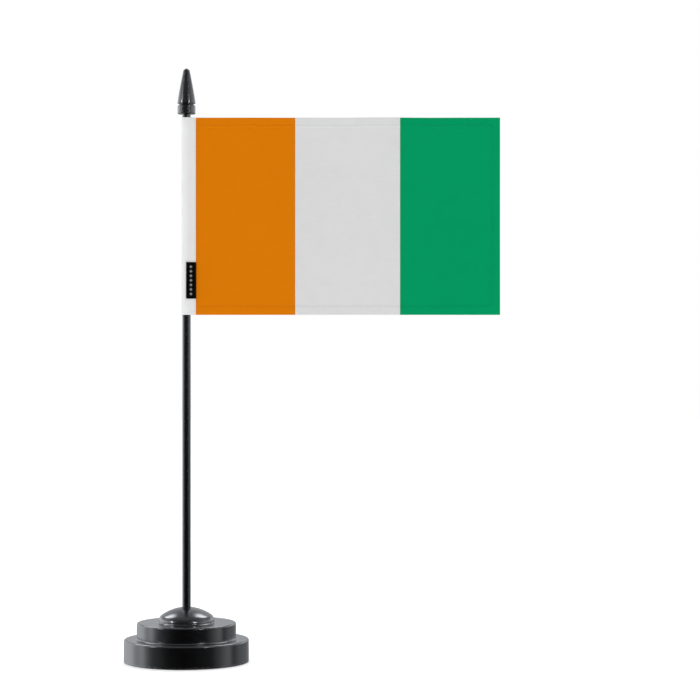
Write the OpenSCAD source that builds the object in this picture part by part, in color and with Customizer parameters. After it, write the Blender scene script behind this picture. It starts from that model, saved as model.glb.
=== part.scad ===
// Desk flag stand: a weighted, stepped round base holds a slim pole with a
// spear finial, and a small flag rides on the pole by its sewn sleeve.
// Millimetres, +Z up. The origin is the centre of the base's underside, on the
// pole's axis; the flag flies towards +X and its front looks towards -Y.

/* [Base] */
// Diameter of the lower tier
base_d = 63.2; // [52:0.1:76]
// Height of the lower tier's top above the table
lower_top_z = 11.9; // [9.9:0.1:16]
// Width of the lower tread, from the lower tier's wall to the upper tier's
lower_tread = 6.5; // [5:0.1:7.8]
// Height of the upper tier above the lower tread
upper_tier_h = 8.3; // [6.9:0.1:12]
// Width of the upper tread, from the upper tier's wall to the dome
upper_tread = 10.9; // [7:0.1:12.8]
// Height of the dome's side, up to where its cap would start if the shoulder were sharp
dome_side_h = 2.6; // [1.9:0.05:4]
// Rise of the dome's cap above its side
dome_rise = 5.2; // [4.5:0.05:7]
// Wall thickness of the base moulding
wall = 2; // [1.6:0.1:2.4]
// Rounding along the top edge of each tier
edge_r = 0.85; // [0.3:0.05:1.2]
// Rounding at the dome's shoulder
shoulder_r = 4; // [2.5:0.1:4.5]
// Hollow rounding at the foot of the upper tier and of the dome
cove_r = 0.6; // [0.2:0.05:0.8]

/* [Inside the base] */
// Height of the moulding's rim above the table
rim_lift = 0.4; // [0.2:0.1:0.8]
// Thickness of the foam foot pad
pad_t = 1.2; // [1:0.1:2]
// Ring of the cavity that the foot pad leaves bare
pad_margin = 1.4; // [0.5:0.1:3]
// Thickness of the cover disc
cover_t = 1.8; // [1.5:0.1:2.4]
// Height of the ballast ring
ballast_h = 8; // [4:0.5:9]
// Thickness of the ribs that hold the ballast down
rib_t = 1.2; // [0.8:0.1:2]
// Number of ribs
rib_count = 6; // [3:1:8]
// Number of cover screws
screw_count = 3; // [3:1:6]
// Thread diameter of a cover screw
screw_d = 2.2; // [1.8:0.1:2.6]
// Length of a cover screw, head included
screw_l = 6; // [4.5:0.5:6.5]
// Diameter of a cover screw's countersunk head
screw_head_d = 4.2; // [3.6:0.1:4.8]
// Diameter of a screw boss
screw_boss_d = 4.8; // [4:0.1:6]

/* [Pole and socket] */
// Diameter of the pole
pole_d = 4.3; // [3.5:0.1:5.2]
// Length of pole in sight between the dome and the finial
pole_show = 249.8; // [200:0.1:300]
// Chamfer at both ends of the pole
pole_chamfer = 0.35; // [0.1:0.05:0.6]
// Wall of the bush that holds the pole's foot
bush_wall = 1.6; // [1.2:0.1:2]
// Thickness of the bush's floor
bush_floor_t = 1.8; // [1:0.1:2.5]
// Thickness of the flange that keeps the bush in its boss
flange_t = 1.5; // [1:0.1:2]
// Width of that flange beyond the bush
flange_w = 1.6; // [1:0.1:2]
// Wall of the boss around the bush
boss_wall = 1.8; // [1.4:0.1:2.4]
// Countersink around the pole at the top of the dome
countersink = 0.6; // [0.2:0.1:1]

/* [Finial] */
// Diameter of the finial's collar
collar_d = 9.1; // [7.6:0.1:11]
// Height of the collar
collar_h = 4.3; // [3:0.1:6]
// Depth of the groove between collar and spear
groove_depth = 0.8; // [0.4:0.1:1.2]
// Height of that groove
groove_h = 1.1; // [0.6:0.1:2]
// Diameter of the spear at its foot
spear_d = 9.25; // [7.7:0.05:11]
// Height of the spear's flank
spear_h = 16.9; // [14:0.1:24]
// Diameter where the flank meets the tip
tip_d = 3.1; // [2:0.1:4]
// Height of the blunt tip
tip_h = 1; // [0.5:0.1:2]
// Fullness of the flank: 1 is a straight cone
flank_power = 1.15; // [1:0.05:1.4]
// Depth of the hole that takes the pole's top
finial_hole_h = 12.2; // [8:0.1:13]

/* [Flag] */
// Height of the flag
flag_h = 100; // [80:1:120]
// Length of cloth in sight from the sleeve's seam to the fly edge
flag_fly = 154.2; // [120:0.1:190]
// Length of the band next to the sleeve
hoist_band = 50.4; // [35:0.1:62]
// Length of the middle band
middle_band = 53.1; // [35:0.1:65]
// Thickness of the printed cloth, hem included
cloth_t = 0.3; // [0.2:0.05:0.5]
// Distance from the pole's axis to the sleeve's seam
seam_x = 4.76; // [4.2:0.02:6]
// Thickness of the sleeve's fabric
sleeve_t = 0.25; // [0.15:0.05:0.4]
// Length of cloth caught in the seam
tuck = 1.1; // [0.8:0.1:1.3]
// Distance from the top of the sleeve to the finial
flag_gap = 1.8; // [1.8:0.1:6]
// Distance from the cloth's edge to the hem's stitching
hem_w = 4; // [2:0.5:8]
// Width of a line of stitching
stitch_w = 0.3; // [0.2:0.05:0.5]
// Distance from the seam's edge to the line of stitching
stitch_inset = 0.6; // [0.3:0.1:1]

/* [Label] */
// Height of the woven label
label_h = 18.5; // [12:0.5:30]
// Width of the label, from the seam to its free edge
label_w = 5.6; // [3:0.1:7]
// Thickness of the folded label
label_t = 0.35; // [0.2:0.05:0.6]
// Distance from the bottom of the sleeve to the label
label_rise = 8.2; // [2:0.1:60]

/* [Hidden] */
// Running clearance of a turning or sliding fit, on the radius
run_gap = 0.05;
// Clearance between the sleeve and the pole, on the radius
sleeve_gap = 0.1;
// Clearance at a stop, along the pole
stop_gap = 0.1;
// Clearance around what is only put in place
loose_gap = 0.15;
// Room between the inner pieces of the base
inner_gap = 0.8;
// How far thread stands proud of its fabric
thread_t = 0.06;
// How far a cut runs past a face
past = 1;
// Steps of a quarter round on the finial, and of its flank
arc_steps = 7;
flank_steps = 14;
$fn = 96;

base_r = base_d / 2;
upper_r = base_r - lower_tread;
dome_r = upper_r - upper_tread;
upper_top_z = lower_top_z + upper_tier_h;
cap_r = (dome_r * dome_r + dome_rise * dome_rise) / (2 * dome_rise);
dome_z = upper_top_z + dome_side_h + dome_rise;
cap_centre_z = dome_z - cap_r;
shoulder_a = acos((dome_r - shoulder_r) / (cap_r - shoulder_r));
shoulder_z = cap_centre_z + (cap_r - shoulder_r) * sin(shoulder_a);
dome_cove_r = max(0.1, min(cove_r, shoulder_z - upper_top_z));

cavity_r = base_r - wall;
cover_top_z = pad_t + cover_t;
pole_r = pole_d / 2;
bush_hole_r = pole_r + run_gap;
bush_r = bush_hole_r + bush_wall;
bush_bore_r = bush_r + run_gap;
boss_r = bush_bore_r + boss_wall;
bush_z = cover_top_z + loose_gap;
boss_z = bush_z + flange_t + loose_gap;
bush_bore_top_z = cap_z(bush_bore_r) - wall;
bush_top_z = bush_bore_top_z - loose_gap;
pole_foot_z = bush_z + bush_floor_t + stop_gap;

screw_boss_r = screw_boss_d / 2;
screw_circle_r = cavity_r - inner_gap - screw_boss_r;
ballast_in_r = max(boss_r, bush_r + flange_w) + inner_gap;
ballast_out_r = min(screw_circle_r - screw_boss_r, upper_r - wall) - inner_gap;
ballast_top_z = cover_top_z + ballast_h;
screw_r = screw_d / 2;
screw_head_r = screw_head_d / 2;
screw_head_h = screw_head_r - screw_r + 0.2;

finial_z = dome_z + pole_show;
pole_top_z = finial_z + finial_hole_h - stop_gap;
spear_z = finial_z + collar_h + groove_h;

flag_top_z = finial_z - flag_gap;
flag_z = flag_top_z - flag_h;
fly_x = seam_x + flag_fly;
sleeve_in_r = pole_r + sleeve_gap;
sleeve_out_r = sleeve_in_r + sleeve_t;
seam_half_t = cloth_t / 2 + sleeve_t;
seam_reach = norm([seam_x, seam_half_t]);
// The sleeve's flat side leaves the seam at this angle and runs tangent to the pole's loop.
side_a = 180 - atan2(seam_half_t, seam_x) + asin(sleeve_out_r / seam_reach);
label_z = flag_z + label_rise;

// Height of the dome's cap above the table at a distance from the axis
function cap_z(r) = cap_centre_z + sqrt(cap_r * cap_r - r * r);

// Points of an arc about (x, y) from angle a0 to a1
function arc(x, y, r, a0, a1, steps = arc_steps) =
    [for (i = [0:steps]) let (a = a0 + (a1 - a0) * i / steps) [x + r * cos(a), y + r * sin(a)]];

// Radius of the spear at a fraction t of its height
function flank_r(t) = (spear_d - (spear_d - tip_d) * pow(t, flank_power)) / 2;

// Half outline of a round tier with a rounded top edge
module tier_outline(r, z0, z1, edge) {
    translate([0, z0]) square([r, z1 - edge - z0]);
    translate([0, z0]) square([r - edge, z1 - z0]);
    translate([r - edge, z1 - edge]) circle(r = edge);
}

// Hollow rounding in the corner between a wall at radius r and the tread at height z
module cove_outline(r, z, hollow) {
    translate([r, z]) difference() {
        translate([-hollow, -hollow]) square(2 * hollow);
        translate([hollow, hollow]) circle(r = hollow);
    }
}

// Half outline of the dome from z0 up: side, rounded shoulder and the cap's arc, set in by inset
module dome_outline(z0, inset = 0) {
    cap_in_r = cap_r - inset;
    translate([0, z0]) square([dome_r - inset, shoulder_z - z0]);
    translate([dome_r - shoulder_r, shoulder_z]) circle(r = shoulder_r - inset);
    intersection() {
        translate([0, cap_centre_z]) circle(r = cap_in_r);
        translate([0, z0]) square([cap_in_r * cos(shoulder_a), dome_z - z0]);
    }
}

// The base's outer shape, turned about the pole's axis
module base_outside() {
    rotate_extrude() {
        tier_outline(base_r, rim_lift, lower_top_z, edge_r);
        tier_outline(upper_r, rim_lift, upper_top_z, edge_r);
        cove_outline(upper_r, lower_top_z, cove_r);
        cove_outline(dome_r, upper_top_z, dome_cove_r);
        dome_outline(lower_top_z);
    }
}

// The hollow that follows the tiers at one wall's thickness
module base_cavity() {
    rotate_extrude() {
        translate([0, -past]) square([cavity_r, lower_top_z - wall + past]);
        translate([0, -past]) square([upper_r - wall, upper_top_z - wall + past]);
        dome_outline(lower_top_z - wall, wall);
    }
}

// Everything that stands inside the hollow: socket boss, ribs and screw bosses
module base_inner_works() {
    translate([0, 0, boss_z]) cylinder(r = boss_r, h = dome_z - boss_z);
    for (i = [0:rib_count - 1])
        rotate(i * 360 / rib_count)
            translate([0, -rib_t / 2, ballast_top_z + loose_gap])
                cube([upper_r, rib_t, upper_top_z - ballast_top_z - loose_gap]);
    at_screws()
        translate([0, 0, cover_top_z + run_gap])
            cylinder(r = screw_boss_r, h = lower_top_z - cover_top_z);
}

module at_screws() {
    for (i = [0:screw_count - 1])
        rotate((i + 0.5) * 360 / screw_count) translate([screw_circle_r, 0, 0]) children();
}

// One moulding: stepped tiers and dome outside, socket and bosses inside
module base_shell() {
    hole_r = pole_r + loose_gap;
    color("#26282b") difference() {
        base_outside();
        difference() {
            base_cavity();
            base_inner_works();
        }
        translate([0, 0, boss_z - past]) cylinder(r = bush_bore_r, h = bush_bore_top_z - boss_z + past);
        translate([0, 0, boss_z]) cylinder(r = hole_r, h = dome_z);
        translate([0, 0, dome_z - countersink])
            cylinder(r1 = hole_r, r2 = hole_r + countersink + past, h = countersink + past);
        at_screws() cylinder(r = screw_r + run_gap, h = pad_t + screw_l + run_gap);
    }
}

// Iron weight that keeps the stand upright
module ballast_ring() {
    chamfer = 0.6;
    color("#6d6f72") rotate_extrude() polygon([
        [ballast_in_r, cover_top_z],
        [ballast_out_r - chamfer, cover_top_z],
        [ballast_out_r, cover_top_z + chamfer],
        [ballast_out_r, ballast_top_z - chamfer],
        [ballast_out_r - chamfer, ballast_top_z],
        [ballast_in_r, ballast_top_z]
    ]);
}

// Disc that closes the base from below
module base_cover() {
    color("#2e3033") difference() {
        translate([0, 0, pad_t]) cylinder(r = cavity_r - loose_gap, h = cover_t);
        at_screws() cylinder(r = screw_r + loose_gap, h = cover_top_z + past);
        at_screws() translate([0, 0, pad_t - loose_gap])
            cylinder(
                r1 = screw_head_r + 2 * loose_gap,
                r2 = screw_r + loose_gap,
                h = screw_head_h + loose_gap
            );
    }
}

// Countersunk screws that hold the cover to the bosses
module cover_screws() {
    recess_w = 0.5;
    recess_h = 0.6;
    color("#b4b6b8") at_screws() difference() {
        union() {
            translate([0, 0, pad_t]) cylinder(r1 = screw_head_r, r2 = screw_r, h = screw_head_h);
            translate([0, 0, pad_t]) cylinder(r = screw_r, h = screw_l - screw_r);
            translate([0, 0, pad_t + screw_l - screw_r])
                cylinder(r1 = screw_r, r2 = screw_r / 4, h = screw_r);
        }
        for (a = [0, 90])
            rotate(a) translate([-screw_r, -recess_w / 2, pad_t - past])
                cube([screw_d, recess_w, recess_h + past]);
    }
}

// Foam disc that the stand rests on; it hides the screws
module foot_pad() {
    color("#3a3a3c") cylinder(r = cavity_r - pad_margin, h = pad_t);
}

// Cup that grips the pole's foot and turns in the base's boss
module socket_bush() {
    lead_in = 0.4;
    color("#4a4c50") difference() {
        union() {
            translate([0, 0, bush_z]) cylinder(r = bush_r, h = bush_top_z - bush_z);
            translate([0, 0, bush_z]) cylinder(r = bush_r + flange_w, h = flange_t);
        }
        translate([0, 0, bush_z + bush_floor_t]) cylinder(r = bush_hole_r, h = bush_top_z);
        translate([0, 0, bush_top_z - lead_in])
            cylinder(r1 = bush_hole_r, r2 = bush_hole_r + lead_in + past, h = lead_in + past);
    }
}

module pole() {
    color("#1b1c1f") rotate_extrude() polygon([
        [0, pole_foot_z],
        [pole_r - pole_chamfer, pole_foot_z],
        [pole_r, pole_foot_z + pole_chamfer],
        [pole_r, pole_top_z - pole_chamfer],
        [pole_r - pole_chamfer, pole_top_z],
        [0, pole_top_z]
    ]);
}

// Spear point with a grooved collar; it pushes onto the pole's top
module finial() {
    edge = 0.35;
    collar_r = collar_d / 2;
    groove_r = collar_r - groove_depth;
    groove_z = finial_z + collar_h;
    color("#2a2c2f") difference() {
        rotate_extrude() polygon(concat(
            [[0, finial_z]],
            arc(collar_r - edge, finial_z + edge, edge, 270, 360),
            arc(collar_r - edge, groove_z - edge, edge, 0, 90),
            [[groove_r, groove_z + groove_h / 3]],
            [[groove_r, spear_z - groove_h / 3]],
            [for (i = [0:flank_steps]) [flank_r(i / flank_steps), spear_z + spear_h * i / flank_steps]],
            [[0, spear_z + spear_h + tip_h]]
        ));
        translate([0, 0, finial_z - past]) cylinder(r = pole_r + run_gap, h = finial_hole_h + past);
    }
}

// One piece of cloth; the three bands are printed on it
module flag_cloth() {
    ends = [seam_x - tuck, seam_x + hoist_band, seam_x + hoist_band + middle_band, fly_x];
    tints = ["#d67806", "#d6d6d6", "#039660"];
    for (i = [0:2])
        color(tints[i]) translate([ends[i], -cloth_t / 2, flag_z])
            cube([ends[i + 1] - ends[i], cloth_t, flag_h]);
}

// Stitched lines along the top, fly and bottom hems, on both faces
module hem_stitching() {
    row_l = flag_fly - stitch_inset - hem_w;
    inner_h = flag_h - 2 * (hem_w + stitch_w);
    for (y = [-cloth_t / 2 - thread_t, cloth_t / 2])
        color("#c8c4b8") translate([seam_x + stitch_inset, y + thread_t, flag_z])
            rotate([90, 0, 0]) linear_extrude(thread_t) difference() {
                translate([0, hem_w]) square([row_l, flag_h - 2 * hem_w]);
                translate([-past, hem_w + stitch_w]) square([row_l - stitch_w + past, inner_h]);
            }
}

// White pocket that wraps the pole and is sewn to the cloth
module pole_sleeve() {
    sliver = 0.01;
    color("#e6e6e6") translate([0, 0, flag_z]) linear_extrude(flag_h) difference() {
        hull() {
            circle(r = sleeve_out_r);
            translate([seam_x - sliver, -seam_half_t]) square([sliver, 2 * seam_half_t]);
        }
        hull() {
            circle(r = sleeve_in_r);
            translate([seam_x - tuck, -cloth_t / 2]) square([sliver, cloth_t]);
        }
        translate([seam_x - tuck, -cloth_t / 2]) square([tuck + past, cloth_t]);
    }
}

// A strip on the sleeve's flat side: from one distance from the seam to another,
// standing proud of the side by out, on the front (side = -1) or the back (side = 1)
module on_side(side, from, to, out, t, z0, z1) {
    scale([1, -side, 1])
        translate([seam_x, -seam_half_t, z0]) rotate(side_a)
            translate([from, out, 0]) cube([to - from, t, z1 - z0]);
}

// The seam's stitching: whole on the back, broken by the label on the front
module sleeve_stitching() {
    gap = 0.1;
    a = stitch_inset;
    b = stitch_inset + stitch_w;
    color("#dcdcd8") {
        on_side(1, a, b, 0, thread_t, flag_z + gap, flag_top_z - gap);
        on_side(-1, a, b, 0, thread_t, flag_z + gap, label_z - gap);
        on_side(-1, a, b, 0, thread_t, label_z + label_h + gap, flag_top_z - gap);
    }
}

// Plain folded tab, caught in the seam at one edge
module woven_label() {
    color("#14161a") on_side(-1, 0, label_w, 0, label_t, label_z, label_z + label_h);
}

// The seam's stitching where it runs over the label
module label_stitching() {
    a = stitch_inset;
    gap = 0.1;
    color("#2a2c30")
        on_side(-1, a, a + stitch_w, label_t, thread_t, label_z + gap, label_z + label_h - gap);
}

base_shell();
ballast_ring();
base_cover();
cover_screws();
foot_pad();
socket_bush();
pole();
finial();
flag_cloth();
hem_stitching();
pole_sleeve();
sleeve_stitching();
woven_label();
label_stitching();
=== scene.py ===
"""Looks of the desk flag stand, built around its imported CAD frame. Metres, +Z up, flag towards +X."""

import math

import bmesh
import bpy
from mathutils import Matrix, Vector, noise


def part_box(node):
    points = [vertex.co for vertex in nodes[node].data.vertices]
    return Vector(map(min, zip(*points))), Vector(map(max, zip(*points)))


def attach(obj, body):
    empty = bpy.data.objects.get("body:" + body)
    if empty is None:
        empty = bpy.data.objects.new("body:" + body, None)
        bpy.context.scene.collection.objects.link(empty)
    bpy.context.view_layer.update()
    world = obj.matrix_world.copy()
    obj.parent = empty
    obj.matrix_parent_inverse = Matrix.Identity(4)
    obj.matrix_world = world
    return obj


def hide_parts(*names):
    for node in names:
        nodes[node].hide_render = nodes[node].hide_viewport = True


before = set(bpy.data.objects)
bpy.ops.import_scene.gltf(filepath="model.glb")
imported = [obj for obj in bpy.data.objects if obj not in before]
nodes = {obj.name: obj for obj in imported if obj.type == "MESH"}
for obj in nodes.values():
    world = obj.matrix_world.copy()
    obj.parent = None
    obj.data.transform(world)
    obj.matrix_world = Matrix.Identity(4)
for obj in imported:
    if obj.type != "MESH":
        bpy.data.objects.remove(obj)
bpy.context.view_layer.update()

MM = 0.001

# Places read from the frame
sleeve_low, sleeve_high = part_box("pole_sleeve")
cloth_low, cloth_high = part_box("flag_cloth")
label_low, label_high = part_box("woven_label")
pad_low, pad_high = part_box("foot_pad")

seam_x = sleeve_high.x
flag_bottom, flag_top = cloth_low.z, cloth_high.z
fly_x = cloth_high.x
tuck_x = cloth_low.x
pole_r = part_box("pole")[1].x
base_foot_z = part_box("base_shell")[0].z
hem_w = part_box("hem_stitching")[0].z - flag_bottom

# Sizes of the cloth work
hoist_band = 50.4 * MM      # first band's length from the seam
middle_band = 53.1 * MM
field_t = 0.22 * MM         # single cloth
hem_t = 0.5 * MM            # cloth folded over at the hem
ripple_h = 1.1 * MM         # about how far the waves in the cloth reach
sleeve_t = 0.25 * MM
sleeve_gap = 0.1 * MM       # between pole and sleeve
label_ply = 0.15 * MM       # one layer of the folded label
label_gap = 0.05 * MM       # between its two layers
label_curl = 0.28 * MM      # how much further its free edge stands off than its sewn edge
thread_r = 0.1 * MM
stitch_pitch = 2.6 * MM
stitch_gap = 0.45 * MM      # between two stitches of a row
stitch_inset = 0.75 * MM    # from the seam's edge to its stitching
row_end = 0.5 * MM          # from the sleeve's ends to its stitching
row_break = 0.15 * MM       # from the label's edges to the stitches on and beside it


# ---------------------------------------------------------------- materials

class Graph:
    """One procedural material, with short calls for the nodes it needs. Patterns are in millimetres."""

    def __init__(self, name, colour, roughness, **constants):
        self.material = bpy.data.materials.new(name)
        self.material.use_nodes = True
        self.tree = self.material.node_tree
        self.shader = self.tree.nodes["Principled BSDF"]
        self.shader.inputs["Base Color"].default_value = (*colour, 1)
        self.shader.inputs["Roughness"].default_value = roughness
        for key, value in constants.items():
            self.shader.inputs[key.replace("_", " ").title().replace("Ior", "IOR")].default_value = value
        place = self.add("ShaderNodeTexCoord")
        scale = self.add("ShaderNodeVectorMath", place.outputs["Object"], operation="SCALE")
        scale.inputs["Scale"].default_value = 1 / MM
        self.mm = scale.outputs[0]

    def add(self, kind, *values, **settings):
        node = self.tree.nodes.new(kind)
        for key, value in settings.items():
            setattr(node, key, value)
        for socket, value in zip(node.inputs, values):
            self.feed(socket, value)
        return node

    def feed(self, socket, value):
        if isinstance(value, bpy.types.NodeSocket):
            self.tree.links.new(value, socket)
        elif value is not None:
            socket.default_value = value

    def math(self, operation, *values):
        return self.add("ShaderNodeMath", *values, operation=operation).outputs[0]

    def axes(self):
        return self.add("ShaderNodeSeparateXYZ", self.mm).outputs[:3]

    def noise(self, size, detail=2.0, rough=0.5, stretch=(1, 1, 1)):
        """Smooth noise from 0 to 1 whose lumps are about that many millimetres across."""
        place = self.add("ShaderNodeVectorMath", self.mm, stretch, operation="MULTIPLY").outputs[0]
        made = self.add("ShaderNodeTexNoise")
        self.feed(made.inputs["Vector"], place)
        made.inputs["Scale"].default_value = 1 / size
        made.inputs["Detail"].default_value = detail
        made.inputs["Roughness"].default_value = rough
        return made.outputs[0]

    def step(self, value, low, high, to_low=0.0, to_high=1.0):
        """A smooth step of value from low to high."""
        ends = (low, high, to_low, to_high)
        return self.add("ShaderNodeMapRange", value, *ends, interpolation_type="SMOOTHSTEP").outputs[0]

    def mix(self, factor, a, b):
        made = self.add("ShaderNodeMix", data_type="RGBA", clamp_factor=True)
        self.feed(made.inputs[0], factor)
        for socket, value in ((made.inputs[6], a), (made.inputs[7], b)):
            self.feed(socket, value if isinstance(value, bpy.types.NodeSocket) else (*value, 1))
        return made.outputs[2]

    def shade(self, colour, value):
        """The colour, made darker or lighter by a value near 1."""
        made = self.add("ShaderNodeVectorMath", colour, operation="SCALE")
        self.feed(made.inputs["Scale"], value)
        return made.outputs[0]

    def bump(self, height, depth, normal=None):
        """Bump of a height from 0 to 1, that many millimetres deep."""
        made = self.add("ShaderNodeBump")
        made.inputs["Strength"].default_value = 1
        made.inputs["Distance"].default_value = depth * MM
        self.feed(made.inputs["Height"], height)
        self.feed(made.inputs["Normal"], normal)
        return made.outputs[0]

    def finish(self, colour=None, roughness=None, normal=None):
        self.feed(self.shader.inputs["Base Color"], colour)
        self.feed(self.shader.inputs["Roughness"], roughness)
        self.feed(self.shader.inputs["Normal"], normal)
        return self.material


def tinted(colour, *factors):
    """The colour times one factor, or times a factor for each of its three channels."""
    return tuple(c * f for c, f in zip(colour, factors * (3 // len(factors))))


def moulded_gloss(name, colour, roughness, rim=None, drawn=False):
    """Glossy black plastic: faint sink and orange peel, and fine handling scratches.

    A rim is the height, in millimetres, of a foot that is scuffed. A drawn rod is streaked along its length.
    """
    g = Graph(name, colour, roughness, specular_ior_level=0.5)
    cloud = g.noise(9, 3)
    fine = g.noise(0.5, 4, 0.6, (1, 1, 0.06) if drawn else (1, 1, 1))
    scratch = g.noise(0.22, 6, 0.72, (1, 1, 0.02) if drawn else (0.12, 1, 1))
    worn = g.step(scratch, 0.6, 0.72)
    tone = g.mix(cloud, tinted(colour, 0.85), tinted(colour, 1.2))
    rough = g.math("MULTIPLY_ADD", cloud, 0.05, roughness - 0.03)
    rough = g.math("MULTIPLY_ADD", worn, 0.07, rough)
    if rim is not None:
        scuffed_h = 1.8
        scuffed_grey = (0.11, 0.11, 0.115)
        patches = g.step(g.noise(1.4, 5, 0.7), 0.42, 0.66)
        foot = g.math("MULTIPLY", g.step(g.axes()[2], rim + scuffed_h, rim), patches)
        rough = g.math("MULTIPLY_ADD", foot, 0.3, rough)
        tone = g.mix(g.math("MULTIPLY", foot, 0.35), tone, scuffed_grey)
    peel = g.bump(g.noise(1.3, 1.5), 0.006)
    return g.finish(tone, rough, g.bump(fine, 0.0018, peel))


def weave(g, u, v, pitch):
    """Height of a plain weave from 0 to 1: threads along u and v go over and under each other."""
    across = g.math("ABSOLUTE", g.math("SINE", g.math("MULTIPLY", u, math.pi / pitch)))
    along = g.math("ABSOLUTE", g.math("SINE", g.math("MULTIPLY", v, math.pi / pitch)))
    column = g.math("FLOOR", g.math("DIVIDE", u, pitch))
    row = g.math("FLOOR", g.math("DIVIDE", v, pitch))
    over = g.math("PINGPONG", g.math("ADD", column, row), 1.0)
    first = g.math("MULTIPLY", over, across)
    second = g.math("MULTIPLY", g.math("SUBTRACT", 1.0, over), along)
    return g.math("ADD", first, second)


def bands(g, x):
    """The three printed bands by distance from the seam, with a slightly soft edge to the ink."""
    soft = 0.16
    ragged = g.math("MULTIPLY_ADD", g.noise(0.35, 3), soft, x)
    first = (seam_x + hoist_band) / MM
    second = first + middle_band / MM
    orange, pale, green = (0.76, 0.208, 0.003), (0.76, 0.76, 0.765), (0.002, 0.34, 0.128)
    colour = g.mix(g.step(ragged, first, first + soft), orange, pale)
    return g.mix(g.step(ragged, second, second + soft), colour, green)


def printed_cloth():
    """Printed polyester: three bands, weave with painted shade between its threads, slight mottle, and ink a
    little weaker on the back.
    """
    g = Graph("printed_polyester", (0.76, 0.76, 0.76), 0.72, specular_ior_level=0.0)
    x, _, z = g.axes()
    yarn_pitch = 0.34
    height = weave(g, x, z, yarn_pitch)
    colour = bands(g, x)
    normal = g.add("ShaderNodeTexCoord").outputs["Normal"]
    back = g.step(g.add("ShaderNodeSeparateXYZ", normal).outputs[1], 0.2, 0.6)
    colour = g.mix(g.math("MULTIPLY", back, 0.025), colour, (0.8, 0.8, 0.8))
    mottle = g.math("MULTIPLY_ADD", g.noise(7, 3), 0.06, 0.97)
    # painted shade: the colour is darker where the weave dips between its threads
    threads = g.math("MULTIPLY_ADD", height, 0.13, 0.91)
    thick_yarns = g.noise(0.5, 2, 0.5, (0.04, 1, 1))
    slub = g.math("MULTIPLY_ADD", thick_yarns, 0.05, 0.975)
    colour = g.shade(colour, g.math("MULTIPLY", g.math("MULTIPLY", mottle, threads), slub))
    rough = g.math("MULTIPLY_ADD", height, -0.12, 0.8)
    creases = g.bump(g.noise(14, 2), 0.08)
    return g.finish(colour, rough, g.bump(height, 0.02, creases))


def plain_cloth(name, colour, pitch):
    """White cotton-like polyester with a visible weave, painted shade between its threads, and slight
    creases.
    """
    g = Graph(name, colour, 0.8, specular_ior_level=0.08)
    x, y, z = g.axes()
    height = weave(g, g.math("ADD", x, y), z, pitch)
    # painted shade: the colour is darker where the weave dips between its threads
    threads = g.math("MULTIPLY_ADD", height, 0.1, 0.93)
    mottle = g.math("MULTIPLY_ADD", g.noise(5, 3), 0.04, 0.985)
    tone = g.math("MULTIPLY", threads, mottle)
    rough = g.math("MULTIPLY_ADD", height, -0.1, 0.86)
    folds = g.bump(g.noise(3.5, 3, 0.6), 0.06)
    base = g.mix(g.noise(9, 2), colour, tinted(colour, 0.985, 0.99, 1.0))
    return g.finish(g.shade(base, tone), rough, g.bump(height, 0.03, folds))


def thread(name, colour, printed=False):
    """Twisted thread with slanting plies, painted darker in the grooves between them as shade. Printed
    thread takes the colour of its band.
    """
    g = Graph(name, colour, 0.6, specular_ior_level=0.12)
    x, y, z = g.axes()
    ply_pitch = 0.22
    slant = g.math("ADD", g.math("ADD", x, z), g.math("MULTIPLY", y, 1.7))
    ply = g.math("ABSOLUTE", g.math("SINE", g.math("MULTIPLY", slant, math.pi / ply_pitch)))
    base = bands(g, x) if printed else g.mix(g.noise(2, 2), colour, tinted(colour, 0.93))
    # painted shade: the colour darkens in the grooves between the plies
    colour = g.shade(base, g.math("MULTIPLY_ADD", ply, 0.16, 0.84))
    return g.finish(colour, g.math("MULTIPLY_ADD", ply, -0.15, 0.68), g.bump(ply, 0.03))


def woven_black():
    """Damask-woven black tab with a plain column of small diamonds and no lettering, painted darker between
    the threads of its weave as shade.
    """
    g = Graph("label_damask", (0.003, 0.003, 0.003), 0.6, specular_ior_level=0.01)
    x, _, z = g.axes()
    height = weave(g, g.math("MULTIPLY", x, 1.1), z, 0.16)
    middle_x = (label_low.x + seam_x) / 2 / MM + 0.15
    pitch, half_w, half_h = 2.3, 0.75, 0.8      # of the diamonds, in millimetres
    start = (label_low.z + label_high.z) / 2 / MM - pitch / 2
    across = g.math("DIVIDE", g.math("ABSOLUTE", g.math("SUBTRACT", x, middle_x)), half_w)
    along = g.math("WRAP", g.math("SUBTRACT", z, start), pitch, 0.0)
    along = g.math("DIVIDE", g.math("ABSOLUTE", g.math("SUBTRACT", along, pitch / 2)), half_h)
    inside = g.step(g.math("ADD", across, along), 1.06, 0.9)
    margin, soft = 1.6, 0.05                    # kept bare at both ends
    bottom, top = label_low.z / MM + margin, label_high.z / MM - margin
    inside = g.math("MULTIPLY", inside, g.step(z, bottom, bottom + soft))
    inside = g.math("MULTIPLY", inside, g.step(z, top, top - soft))
    # painted shade: ground and diamonds are both darker where the weave dips between threads
    ground = g.mix(height, (0.001, 0.001, 0.001), (0.0035, 0.0035, 0.0035))
    colour = g.mix(inside, ground, g.mix(height, (0.18, 0.182, 0.185), (0.34, 0.342, 0.345)))
    return g.finish(colour, g.math("MULTIPLY_ADD", height, -0.2, 0.62), g.bump(height, 0.02))


def foam():
    """Closed-cell foam: small pits, painted darker inside as shade, and a dull skin."""
    g = Graph("closed_cell_foam", (0.045, 0.045, 0.048), 0.9, specular_ior_level=0.2)
    cells = g.add("ShaderNodeTexVoronoi")
    g.feed(cells.inputs["Vector"], g.mm)
    cells.inputs["Scale"].default_value = 2.6
    pits = g.step(cells.outputs["Distance"], 0.15, 0.5)
    # painted shade: the colour is darker towards the middle of each pit, where the bump dips
    colour = g.mix(pits, (0.03, 0.03, 0.032), (0.06, 0.06, 0.063))
    dust = g.step(g.noise(3, 4, 0.7), 0.5, 0.75)
    colour = g.mix(g.math("MULTIPLY", dust, 0.2), colour, (0.16, 0.155, 0.15))
    return g.finish(colour, g.math("MULTIPLY_ADD", pits, -0.12, 0.95), g.bump(pits, 0.12))


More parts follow.
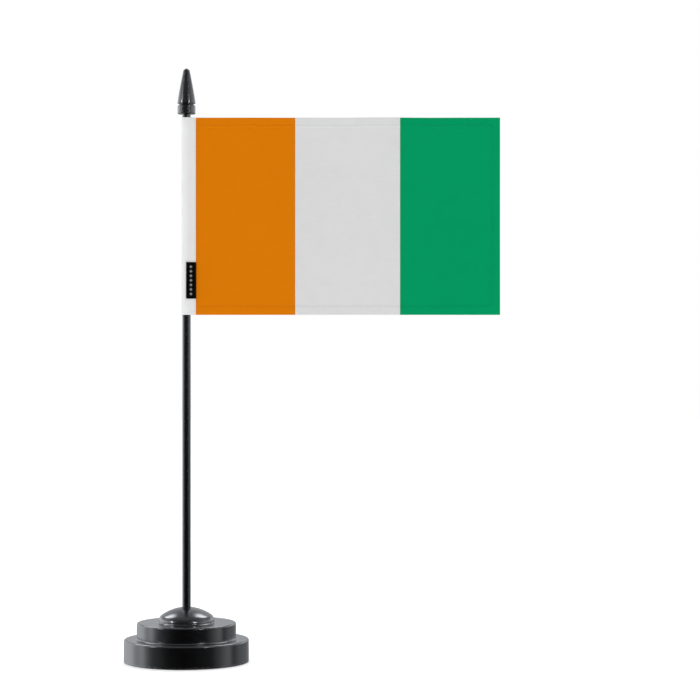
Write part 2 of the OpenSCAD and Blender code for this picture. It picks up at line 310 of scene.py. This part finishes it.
def textured_plastic(name, colour):
    """Matt moulded plastic with a fine spark-eroded grain."""
    g = Graph(name, colour, 0.55, specular_ior_level=0.45)
    grain = g.noise(0.28, 3, 0.6)
    tone = g.mix(g.noise(6, 3), tinted(colour, 0.85), tinted(colour, 1.2))
    return g.finish(tone, g.math("MULTIPLY_ADD", grain, 0.18, 0.46), g.bump(grain, 0.03))


def cast_iron():
    """Rough casting with patches of rust bloom, and painted shade that darkens the hollows between its
    lumps.
    """
    g = Graph("cast_iron", (0.2, 0.2, 0.21), 0.6, metallic=1.0)
    lumps = g.noise(0.9, 5, 0.65)
    rust = g.step(g.noise(4, 5, 0.7), 0.55, 0.72)
    # painted shade: the iron is darker where its lumps are low; the rust patches are its own colour
    colour = g.mix(rust, g.mix(lumps, (0.12, 0.12, 0.125), (0.3, 0.3, 0.31)), (0.2, 0.08, 0.035))
    rough = g.math("MULTIPLY_ADD", rust, 0.25, g.math("MULTIPLY_ADD", lumps, 0.2, 0.42))
    return g.finish(colour, rough, g.bump(lumps, 0.12))


def plated_steel():
    """Zinc plating with turning marks and a faint tint."""
    g = Graph("zinc_plate", (0.6, 0.61, 0.62), 0.3, metallic=1.0)
    marks = g.noise(0.12, 4, 0.7, (1, 1, 6))
    colour = g.mix(g.noise(0.9, 3), (0.5, 0.52, 0.55), (0.7, 0.69, 0.64))
    return g.finish(colour, g.math("MULTIPLY_ADD", marks, 0.25, 0.2), g.bump(marks, 0.01))


# ---------------------------------------------------------------- meshes

def piece(name, verts, faces, material, body, replaced=()):
    """A finished mesh object with smooth shading and its faces turned outwards, riding on a body."""
    mesh = bpy.data.meshes.new(name)
    mesh.from_pydata(verts, [], faces)
    mesh.validate()
    shell = bmesh.new()
    shell.from_mesh(mesh)
    if shell.calc_volume(signed=True) < 0:
        bmesh.ops.reverse_faces(shell, faces=shell.faces)
    shell.to_mesh(mesh)
    shell.free()
    mesh.shade_smooth()
    mesh.materials.append(material)
    made = bpy.data.objects.new(name, mesh)
    bpy.context.scene.collection.objects.link(made)
    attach(made, body)
    if replaced:
        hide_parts(*replaced)
    return made


def smoothstep(value, low, high):
    t = min(max((value - low) / (high - low), 0.0), 1.0)
    return t * t * (3 - 2 * t)


def spread(low, high, pitch):
    """Evenly spaced values from low to high, about a pitch apart."""
    count = max(1, round((high - low) / pitch))
    return [low + (high - low) * i / count for i in range(count + 1)]


def closed_grid(columns, rows, front, back):
    """Vertices and faces of a thin solid between two grids that meet along their common border."""
    verts, faces, index = [], [], {}

    def at(side, i, j):
        border = i in (0, columns - 1) or j in (0, rows - 1)
        key = (0 if border else side, i, j)
        if key not in index:
            index[key] = len(verts)
            verts.append(front(i, j) if side == 0 else back(i, j))
        return index[key]

    for i in range(columns - 1):
        for j in range(rows - 1):
            ring = [(i, j), (i + 1, j), (i + 1, j + 1), (i, j + 1)]
            faces.append([at(0, *c) for c in ring])
            faces.append([at(1, *c) for c in reversed(ring)])
    return verts, faces


def ripple(x, z):
    """How far the hanging cloth stands off its plane: nothing at the seam, a little towards the fly."""
    along = (x - seam_x) / (fly_x - seam_x)
    up = (z - flag_bottom) / (flag_top - flag_bottom)
    reach = smoothstep(along, 0.0, 0.45)
    wave = 0.6 * math.sin(2 * math.pi * (2.3 * along + 0.18 * up + 0.15))
    wave += 0.35 * math.sin(2 * math.pi * (4.1 * along - 0.34 * up + 0.55))
    wave += 0.25 * math.sin(2 * math.pi * (1.2 * up + 0.7 * along))
    return ripple_h * reach * wave * (0.65 + 0.35 * along)


def cloth_half_t(x, z):
    """Half the cloth's thickness: thin field, doubled hems, rounded edges, single at the sleeve's seam."""
    pucker_h, pucker_size = 0.04 * MM, 1.7 * MM
    edge = min(z - flag_bottom, flag_top - z, fly_x - x)
    hem = 1 - smoothstep(edge, hem_w + 0.5 * MM, hem_w + 0.9 * MM)
    hem *= smoothstep(x, seam_x + 0.1 * MM, seam_x + 0.7 * MM)
    pucker = pucker_h * noise.noise(Vector((x, 0, z)) / pucker_size) * hem
    half = (field_t + (hem_t - field_t) * hem) / 2 + pucker
    nearest = max(min(edge, x - tuck_x), 0.0)
    rounding = min(nearest / half, 1.0)
    return half * math.sqrt(1 - (1 - rounding) ** 2)


def graded(low, high, low_hem, high_hem):
    """Grid lines across the cloth: close together at its edges and hem folds, wider in the field."""
    field_pitch = 1.3 * MM
    near = [0, 0.02, 0.05, 0.1, 0.17, 0.26, 0.5]    # in from an edge, in millimetres
    fold = [-0.2, 0.0, 0.2, 0.4, 0.6, 0.8]          # about a hem's fold, in millimetres
    lines = [low + d * MM for d in near] + [high - d * MM for d in near]
    if low_hem:
        lines += [low + hem_w + (0.3 + d) * MM for d in fold]
    if high_hem:
        lines += [high - hem_w - (0.3 + d) * MM for d in fold]
    lines.sort()
    filled = []
    for a, b in zip(lines, lines[1:]):
        filled += spread(a, b, field_pitch)[:-1]
    return filled + [lines[-1]]


def flag_sheet(material):
    xs = graded(tuck_x, fly_x, False, True)
    zs = graded(flag_bottom, flag_top, True, True)

    def side(sign):
        return lambda i, j: (xs[i], ripple(xs[i], zs[j]) + sign * cloth_half_t(xs[i], zs[j]), zs[j])

    verts, faces = closed_grid(len(xs), len(zs), side(-1), side(1))
    return piece("flag_sheet", verts, faces, material, "flag", ["flag_cloth"])


# Where the sleeve's flat flank has its points, from the seam to where it touches the pole
flank_steps = (0, 0.02, 0.05, 0.1, 0.15, 0.2, 0.26, 0.34, 0.45, 0.58, 0.72, 0.86)


def sleeve_line():
    """The sleeve's middle line in plan, from the seam's front, round the pole, to the seam's back."""
    radius = pole_r + sleeve_gap + sleeve_t / 2
    seam_y = field_t / 2 + sleeve_t / 2 + 0.02 * MM
    reach = math.hypot(seam_x, seam_y)
    turn = math.acos(radius / reach) + math.atan2(seam_y, seam_x)
    touch = (radius * math.cos(turn), radius * math.sin(turn))
    front = [(seam_x + (touch[0] - seam_x) * t, -(seam_y + (touch[1] - seam_y) * t)) for t in flank_steps]
    arc_steps = 36
    angles = [-turn - (2 * math.pi - 2 * turn) * i / arc_steps for i in range(arc_steps + 1)]
    arc = [(radius * math.cos(a), radius * math.sin(a)) for a in angles]
    return front + arc + [(x, -y) for x, y in reversed(front)]


def line_normals(line):
    """Unit normals along the sleeve's middle line, all on the same side of it."""
    normals = []
    for i in range(len(line)):
        a, b = line[max(i - 1, 0)], line[min(i + 1, len(line) - 1)]
        dx, dy = b[0] - a[0], b[1] - a[1]
        length = math.hypot(dx, dy)
        normals.append((-dy / length, dx / length))
    return normals


def outward(line, normals):
    """The normals turned so that they point away from the pole."""
    i = len(line) // 2
    inward = line[i][0] * normals[i][0] + line[i][1] * normals[i][1] < 0
    return [(-x, -y) for x, y in normals] if inward else normals


def pole_pocket(material):
    """White heading: one strip wrapped round the pole, its two edges meeting at the seam."""
    line = sleeve_line()
    normals = outward(line, line_normals(line))
    run = [0.0]
    for a, b in zip(line, line[1:]):
        run.append(run[-1] + math.dist(a, b))
    groove_w, groove_depth = 0.28 * MM, 0.07 * MM   # drawn in by the stitches
    crease_h, crease_size = 0.05 * MM, 2.2 * MM
    sag_h, sag_size = 0.05 * MM, 4 * MM
    ends = [0, 0.02, 0.05, 0.09, 0.14, 0.22, 0.4]   # in from either end, in millimetres
    low, high = sleeve_low.z, sleeve_high.z
    lines = [low + d * MM for d in ends] + [high - d * MM for d in reversed(ends)]
    zs = []
    for a, b in zip(lines, lines[1:]):
        zs += spread(a, b, 0.65 * MM)[:-1]
    zs.append(lines[-1])

    def at(sign, i, j):
        z = zs[j]
        from_seam = min(run[i], run[-1] - run[i])
        from_end = min(z - low, high - z)
        rounding = min(min(from_end, from_seam) / (sleeve_t / 2), 1.0)
        half = sleeve_t / 2 * math.sqrt(max(0.0, 1 - (1 - rounding) ** 2))
        x, y = line[i]
        if sign > 0:
            between = abs(((z - low) % stitch_pitch) / stitch_pitch - 0.5) * 2
            groove = math.exp(-((from_seam - stitch_inset) / groove_w) ** 2)
            half -= groove_depth * groove * (0.35 + 0.65 * between) * rounding
            half += crease_h * noise.noise(Vector((x, y, z)) / crease_size) * rounding
        waver = noise.noise(Vector((run[i] * 0.4, 3.0, z)) / sag_size)
        shift = sag_h * smoothstep(from_end, 0.0, 3 * MM) * waver
        shift = max(shift, 0.0) * rounding
        return (x + normals[i][0] * (sign * half + shift), y + normals[i][1] * (sign * half + shift), z)

    verts, faces = closed_grid(len(line), len(zs), lambda i, j: at(1, i, j), lambda i, j: at(-1, i, j))
    return piece("pole_pocket", verts, faces, material, "flag", ["pole_sleeve"])


def stitch(verts, faces, a, b, out):
    """One stitch from a to b: a thread that dips into the cloth at both ends and stands proud along out."""
    rings, sides = 7, 6
    along = b - a
    side = along.cross(out).normalized()
    first = len(verts)
    for i in range(rings):
        t = i / (rings - 1)
        swell = math.sin(math.pi * (0.06 + 0.88 * t)) ** 0.45
        centre = a + along * t + out * (thread_r * (1.5 * math.sin(math.pi * t) ** 0.6 - 0.9))
        for k in range(sides):
            angle = 2 * math.pi * k / sides
            verts.append(centre + (side * math.cos(angle) + out * math.sin(angle)) * thread_r * swell)
    for i in range(rings - 1):
        for k in range(sides):
            p, q = first + i * sides + k, first + i * sides + (k + 1) % sides
            faces.append([p, q, q + sides, p + sides])
    faces.append([first + k for k in reversed(range(sides))])
    faces.append([first + (rings - 1) * sides + k for k in range(sides)])


def hem_stitches(material):
    """Rows of stitches along the bottom, fly and top hems, on both faces."""
    verts, faces = [], []
    top, bottom, fly = flag_top - hem_w, flag_bottom + hem_w, fly_x - hem_w
    start = seam_x + 1.2 * MM
    rows = [(Vector((start, 0, bottom)), Vector((fly, 0, bottom))),
            (Vector((fly, 0, bottom)), Vector((fly, 0, top))),
            (Vector((fly, 0, top)), Vector((start, 0, top)))]
    for a, b in rows:
        count = round((b - a).length / stitch_pitch)
        gap = (b - a).normalized() * stitch_gap / 2
        for i in range(count):
            p, q = a.lerp(b, i / count) + gap, a.lerp(b, (i + 1) / count) - gap
            for sign in (-1, 1):
                ends = []
                for end in (p, q):
                    off = ripple(end.x, end.z) + sign * (cloth_half_t(end.x, end.z) + 0.02 * MM)
                    ends.append(Vector((end.x, off, end.z)))
                stitch(verts, faces, *ends, Vector((0, sign, 0)))
    return piece("hem_stitches", verts, faces, material, "flag", ["hem_stitching"])


def flank(distance, lift=0.0, side=-1):
    """A point on the sleeve's flat flank, a distance from the seam and lifted off it, and the way out."""
    line = sleeve_line()
    seam, touch = Vector(line[0]), Vector(line[len(flank_steps)])
    along = (touch - seam).normalized()
    out = Vector((-along.y, along.x))
    if out.y > 0:
        out = -out
    at = seam + along * distance + out * (sleeve_t / 2 + lift)
    return Vector((at.x, at.y * -side, 0)), Vector((out.x, out.y * -side, 0))


def seam_stitches(name, material, low, high, side, lift, replaced):
    """A row of stitches along the seam from low to high. side is -1 for the front, 1 for the back."""
    verts, faces = [], []
    place, out = flank(stitch_inset, lift, side)
    count = max(1, round((high - low) / stitch_pitch))
    pitch = (high - low) / count
    for i in range(count):
        a = place + Vector((0, 0, low + pitch * i + stitch_gap / 2))
        b = place + Vector((0, 0, low + pitch * (i + 1) - stitch_gap / 2))
        stitch(verts, faces, a, b, out)
    return piece(name, verts, faces, material, "flag", replaced)


def label_tab(material):
    """Folded woven tab: two plies that meet in a round fold at the free edge."""
    place, out = flank(0.0)
    end, _ = flank(1.0 * MM)
    along = (end - place).normalized()
    length = (place.x - label_low.x - 0.2 * MM) / -along.x
    fold_r = label_gap / 2 + label_ply
    steps, bend_steps = 16, 10
    wave_h = 0.05 * MM

    def curl(distance):
        return label_curl * (distance / length) ** 2.4

    mid = []
    straight = [length * (i / steps) for i in range(steps + 1)]
    for d in straight:
        mid.append((d, label_gap / 2 + label_ply / 2, 0.0, 1.0))
    bend_r = label_gap / 2 + label_ply / 2
    for i in range(1, bend_steps):
        a = math.pi / 2 - math.pi * i / bend_steps
        mid.append((length + bend_r * math.cos(a), bend_r * math.sin(a), math.cos(a), math.sin(a)))
    for d in reversed(straight):
        mid.append((d, -label_gap / 2 - label_ply / 2, 0.0, -1.0))
    low, high = label_low.z, label_high.z
    ends = [0, 0.02, 0.05, 0.1, 0.3]            # in from either end, in millimetres
    lines = [low + d * MM for d in ends] + [high - d * MM for d in reversed(ends)]
    zs = []
    for a, b in zip(lines, lines[1:]):
        zs += spread(a, b, 0.6 * MM)[:-1]
    zs.append(lines[-1])

    def at(sign, i, j):
        d, off, nd, no = mid[i]
        z = zs[j]
        end_near = min(z - low, high - z)
        cut_near = d if i <= steps or i >= len(mid) - steps - 1 else length
        rounding = min(min(end_near, cut_near) / (label_ply / 2), 1.0)
        half = sign * label_ply / 2 * math.sqrt(max(0.0, 1 - (1 - rounding) ** 2))
        wave = wave_h * math.sin(3.1 * (z - low) / (high - low)) * d / length
        lift = fold_r + 0.03 * MM + curl(d) + wave
        point = place + along * (d + nd * half) + out * (lift + off + no * half)
        return (point.x, point.y, z)

    verts, faces = closed_grid(len(mid), len(zs), lambda i, j: at(1, i, j), lambda i, j: at(-1, i, j))
    return piece("label_tab", verts, faces, material, "flag", ["woven_label"])


def turned_solid(profile, segments):
    """A closed solid of revolution about Z from (radius, z) points that start and end on the axis."""
    verts = [(0, 0, profile[0][1])]
    for r, z in profile[1:-1]:
        verts += [(r * math.cos(2 * math.pi * k / segments), r * math.sin(2 * math.pi * k / segments), z)
                  for k in range(segments)]
    verts.append((0, 0, profile[-1][1]))
    faces = [[0, 1 + (k + 1) % segments, 1 + k] for k in range(segments)]
    for i in range(len(profile) - 3):
        base = 1 + i * segments
        for k in range(segments):
            n = (k + 1) % segments
            faces.append([base + k, base + n, base + segments + n, base + segments + k])
    last = 1 + (len(profile) - 3) * segments
    faces += [[last + k, last + (k + 1) % segments, len(verts) - 1] for k in range(segments)]
    return verts, faces


def foam_foot(material):
    """Die-cut foam disc, its edge rounded and bulged a little under the weight."""
    radius, low, high = pad_high.x, pad_low.z, pad_high.z
    bulge, steps = 0.12 * MM, 10
    edge = [(radius - bulge + bulge * math.cos(a), (low + high) / 2 + (high - low) / 2 * math.sin(a))
            for a in (math.pi * (i / steps - 0.5) for i in range(steps + 1))]
    flat = [radius * f for f in (0.25, 0.5, 0.75, 0.92, 0.985)]
    underside = [(0, low)] + [(r, low) for r in flat]
    top = [(r, high) for r in reversed(flat)] + [(0, high)]
    profile = underside + edge + top
    verts, faces = turned_solid(profile, 160)
    return piece("foam_foot", verts, faces, material, "base", ["foot_pad"])


# ---------------------------------------------------------------- the object

def dress(node, material):
    """A CAD node keeps its shape and takes a better material."""
    made = nodes[node]
    for slot in made.material_slots:
        slot.material = material


dress("base_shell", moulded_gloss("base_gloss", (0.0008, 0.0009, 0.001), 0.21, rim=base_foot_z / MM))
dress("pole", moulded_gloss("pole_gloss", (0.0008, 0.0009, 0.0011), 0.2, drawn=True))
dress("finial", moulded_gloss("finial_gloss", (0.0015, 0.0017, 0.0018), 0.2))
dress("base_cover", textured_plastic("cover_plastic", (0.03, 0.03, 0.033)))
dress("socket_bush", textured_plastic("bush_nylon", (0.05, 0.051, 0.055)))
dress("ballast_ring", cast_iron())
dress("cover_screws", plated_steel())

flag = flag_sheet(printed_cloth())
pocket = pole_pocket(plain_cloth("sleeve_polyester", (0.895, 0.9, 0.9), 0.3))
hems = hem_stitches(thread("hem_thread", (0.7, 0.7, 0.7), printed=True))
tab = label_tab(woven_black())
white_thread = thread("white_thread", (0.84, 0.84, 0.835))
row_low, row_high = sleeve_low.z + row_end, sleeve_high.z - row_end
seam_front_low = seam_stitches("seam_stitches_low", white_thread,
                               row_low, label_low.z - row_break, -1, 0.0, ["sleeve_stitching"])
seam_front_high = seam_stitches("seam_stitches_high", white_thread,
                                label_high.z + row_break, row_high, -1, 0.0, ["sleeve_stitching"])
seam_back = seam_stitches("seam_stitches_back", white_thread,
                          row_low, row_high, 1, 0.0, ["sleeve_stitching"])
black_thread = thread("black_thread", (0.012, 0.0125, 0.014))
label_lift = 2 * label_ply + 0.13 * MM
label_row = seam_stitches("label_stitches", black_thread,
                          label_low.z + row_break, label_high.z - row_break,
                          -1, label_lift, ["label_stitching"])
foot = foam_foot(foam())


# ---------------------------------------------------------------- studio

def studio_floor():
    size = 4.0
    g = Graph("studio_floor", (0.7, 0.7, 0.7), 0.8, specular_ior_level=0.1, emission_strength=0.6)
    g.feed(g.shader.inputs["Emission Color"], (1, 1, 1, 1))
    colour = g.mix(g.noise(40, 3), (0.69, 0.69, 0.69), (0.71, 0.71, 0.71))
    mesh = bpy.data.meshes.new("floor")
    corners = [(-size, -size, 0), (size, -size, 0), (size, size, 0), (-size, size, 0)]
    mesh.from_pydata(corners, [], [[0, 1, 2, 3]])
    mesh.materials.append(g.finish(colour))
    made = bpy.data.objects.new("floor", mesh)
    bpy.context.scene.collection.objects.link(made)
    made.visible_glossy = False


def around(g, turn, stops, peak):
    """Brightness by compass direction: stops are (degrees from the front towards +X, brightness)."""
    ramp = g.add("ShaderNodeValToRGB", turn)
    elements = ramp.color_ramp.elements
    elements.remove(elements[0])
    for k, (degrees, value) in enumerate(stops):
        place = degrees / 360 + 0.5
        element = elements[0] if k == 0 else elements.new(place)
        element.position = place
        element.color = (value / peak, value / peak, value / peak, 1)
    return ramp.outputs[0]


# Lamps that gloss sees: degrees from the front towards +X, degrees up, half width in degrees, brightness
lamps = ((-130, 47, 16, 12.0), (-61, 17, 6.5, 44.0), (139, 51, 16, 12.0), (39, 17, 6.5, 44.0))


def studio_surround():
    """What gloss sees: a dark front, bright sides and four soft lamps.

    The lamps and most of the stops go back to brightness that scratch programs read from the photo's
    reflections, direction by direction. They were then thinned, rounded and tuned against renders.
    """
    g = Graph("studio_surround", (0, 0, 0), 1.0, specular_ior_level=0.0, emission_strength=1.0)
    way = g.add("ShaderNodeVectorMath", g.mm, operation="NORMALIZE").outputs[0]
    x, y, z = g.add("ShaderNodeSeparateXYZ", way).outputs[:3]
    angle = g.math("ARCTAN2", x, g.math("MULTIPLY", y, -1.0))
    turn = g.math("MULTIPLY_ADD", angle, 1 / (2 * math.pi), 0.5)
    peak = 5.0
    below = around(g, turn, [
        (-180, 0.3), (-160, 0.6), (-135, 1.8), (-115, 3.2), (-100, 2.2), (-84, 3.8), (-75, 1.8), (-64, 0.6),
        (-30, 0.08), (0, 0.01), (50, 0.06), (65, 0.65), (88, 1.9), (100, 0.25), (115, 0.8),
        (150, 0.45)], peak)
    ahead = around(g, turn, [
        (-180, 0.7), (-160, 1.1), (-140, 2.4), (-110, 5.0), (-85, 4.6), (-70, 1.6), (-30, 0.2), (20, 0.35),
        (50, 1.0), (80, 3.2), (105, 3.0), (140, 2.8), (155, 1.4), (170, 0.75)], peak)
    above = around(g, turn, [
        (-180, 0.9), (-120, 1.2), (-95, 2.6), (-60, 1.0), (-25, 0.4), (25, 0.4), (60, 1.0), (90, 2.2),
        (120, 1.2)], peak)
    glow = g.mix(g.step(z, -0.06, 0.1), below, ahead)
    glow = g.mix(g.step(z, 0.18, 0.42), glow, above)
    glow = g.shade(g.mix(g.step(z, 0.6, 0.9), glow, (0.2, 0.2, 0.2)), peak)
    for compass, lift, width, radiance in lamps:
        turned, lifted = math.radians(compass), math.radians(lift)
        lamp = (math.sin(turned) * math.cos(lifted), -math.cos(turned) * math.cos(lifted), math.sin(lifted))
        near = g.add("ShaderNodeVectorMath", way, lamp, operation="DOT_PRODUCT").outputs["Value"]
        rim, core = math.cos(math.radians(width)), math.cos(math.radians(width * 0.4))
        light = g.step(near, rim, core, 0.0, radiance)
        glow = g.add("ShaderNodeVectorMath", glow, light, operation="ADD").outputs[0]
    tint = g.add("ShaderNodeVectorMath", glow, (0.95, 0.985, 1.035), operation="MULTIPLY").outputs[0]
    g.feed(g.shader.inputs["Emission Color"], tint)
    radius, rings = 8.0, 24
    profile = [(radius * math.sin(math.pi * i / rings), -radius * math.cos(math.pi * i / rings))
               for i in range(rings + 1)]
    mesh = bpy.data.meshes.new("surround")
    verts, faces = turned_solid(profile, 48)
    mesh.from_pydata(verts, [], faces)
    mesh.materials.append(g.material)
    made = bpy.data.objects.new("surround", mesh)
    bpy.context.scene.collection.objects.link(made)
    made.visible_camera = False
    made.visible_diffuse = False
    made.visible_transmission = False
    made.visible_shadow = False


def studio_world():
    """White to the eye and even to everything that isn't glossy."""
    world = bpy.data.worlds.new("studio")
    bpy.context.scene.world = world
    world.use_nodes = True
    tree = world.node_tree
    shade = tree.nodes["Background"]
    seen = tree.nodes.new("ShaderNodeLightPath").outputs["Is Camera Ray"]
    strength = tree.nodes.new("ShaderNodeMapRange")
    tree.links.new(seen, strength.inputs["Value"])
    strength.inputs["To Min"].default_value = 0.6
    strength.inputs["To Max"].default_value = 1.0
    shade.inputs["Color"].default_value = (1, 1, 1, 1)
    tree.links.new(strength.outputs[0], shade.inputs["Strength"])


def softbox(name, direction, size, radiance):
    """A large soft light for the cloth, left out of reflections: direction from the middle of the stand."""
    distance = 2.0
    middle = Vector((0.04, 0, 0.15))
    data = bpy.data.lights.new(name, "AREA")
    data.shape = "DISK"
    data.size = size
    data.energy = radiance * math.pi * math.pi * size * size / 4
    made = bpy.data.objects.new(name, data)
    bpy.context.scene.collection.objects.link(made)
    way = Vector(direction).normalized()
    made.location = middle + way * distance
    made.rotation_euler = way.to_track_quat("Z", "Y").to_euler()
    made.visible_camera = False
    made.visible_glossy = False


def studio_lights():
    softbox("key", (-0.55, -0.75, 0.45), 1.2, 1.25)
    softbox("fill", (0.7, 0.6, 0.5), 1.6, 0.75)


def camera():
    """A level camera a little below the height of the flag's lower edge, looking along +Y."""
    data = bpy.data.cameras.new("camera")
    data.lens = 115.2
    data.sensor_width = 36
    made = bpy.data.objects.new("camera", data)
    bpy.context.scene.collection.objects.link(made)
    made.location = (0.0829, -1.1357, 0.1582)
    made.rotation_euler = (math.pi / 2, 0, 0)
    bpy.context.scene.camera = made


studio_floor()
studio_surround()
studio_world()
studio_lights()
camera()
bpy.context.scene.view_settings.view_transform = "Standard"

bpy.context.view_layer.update()
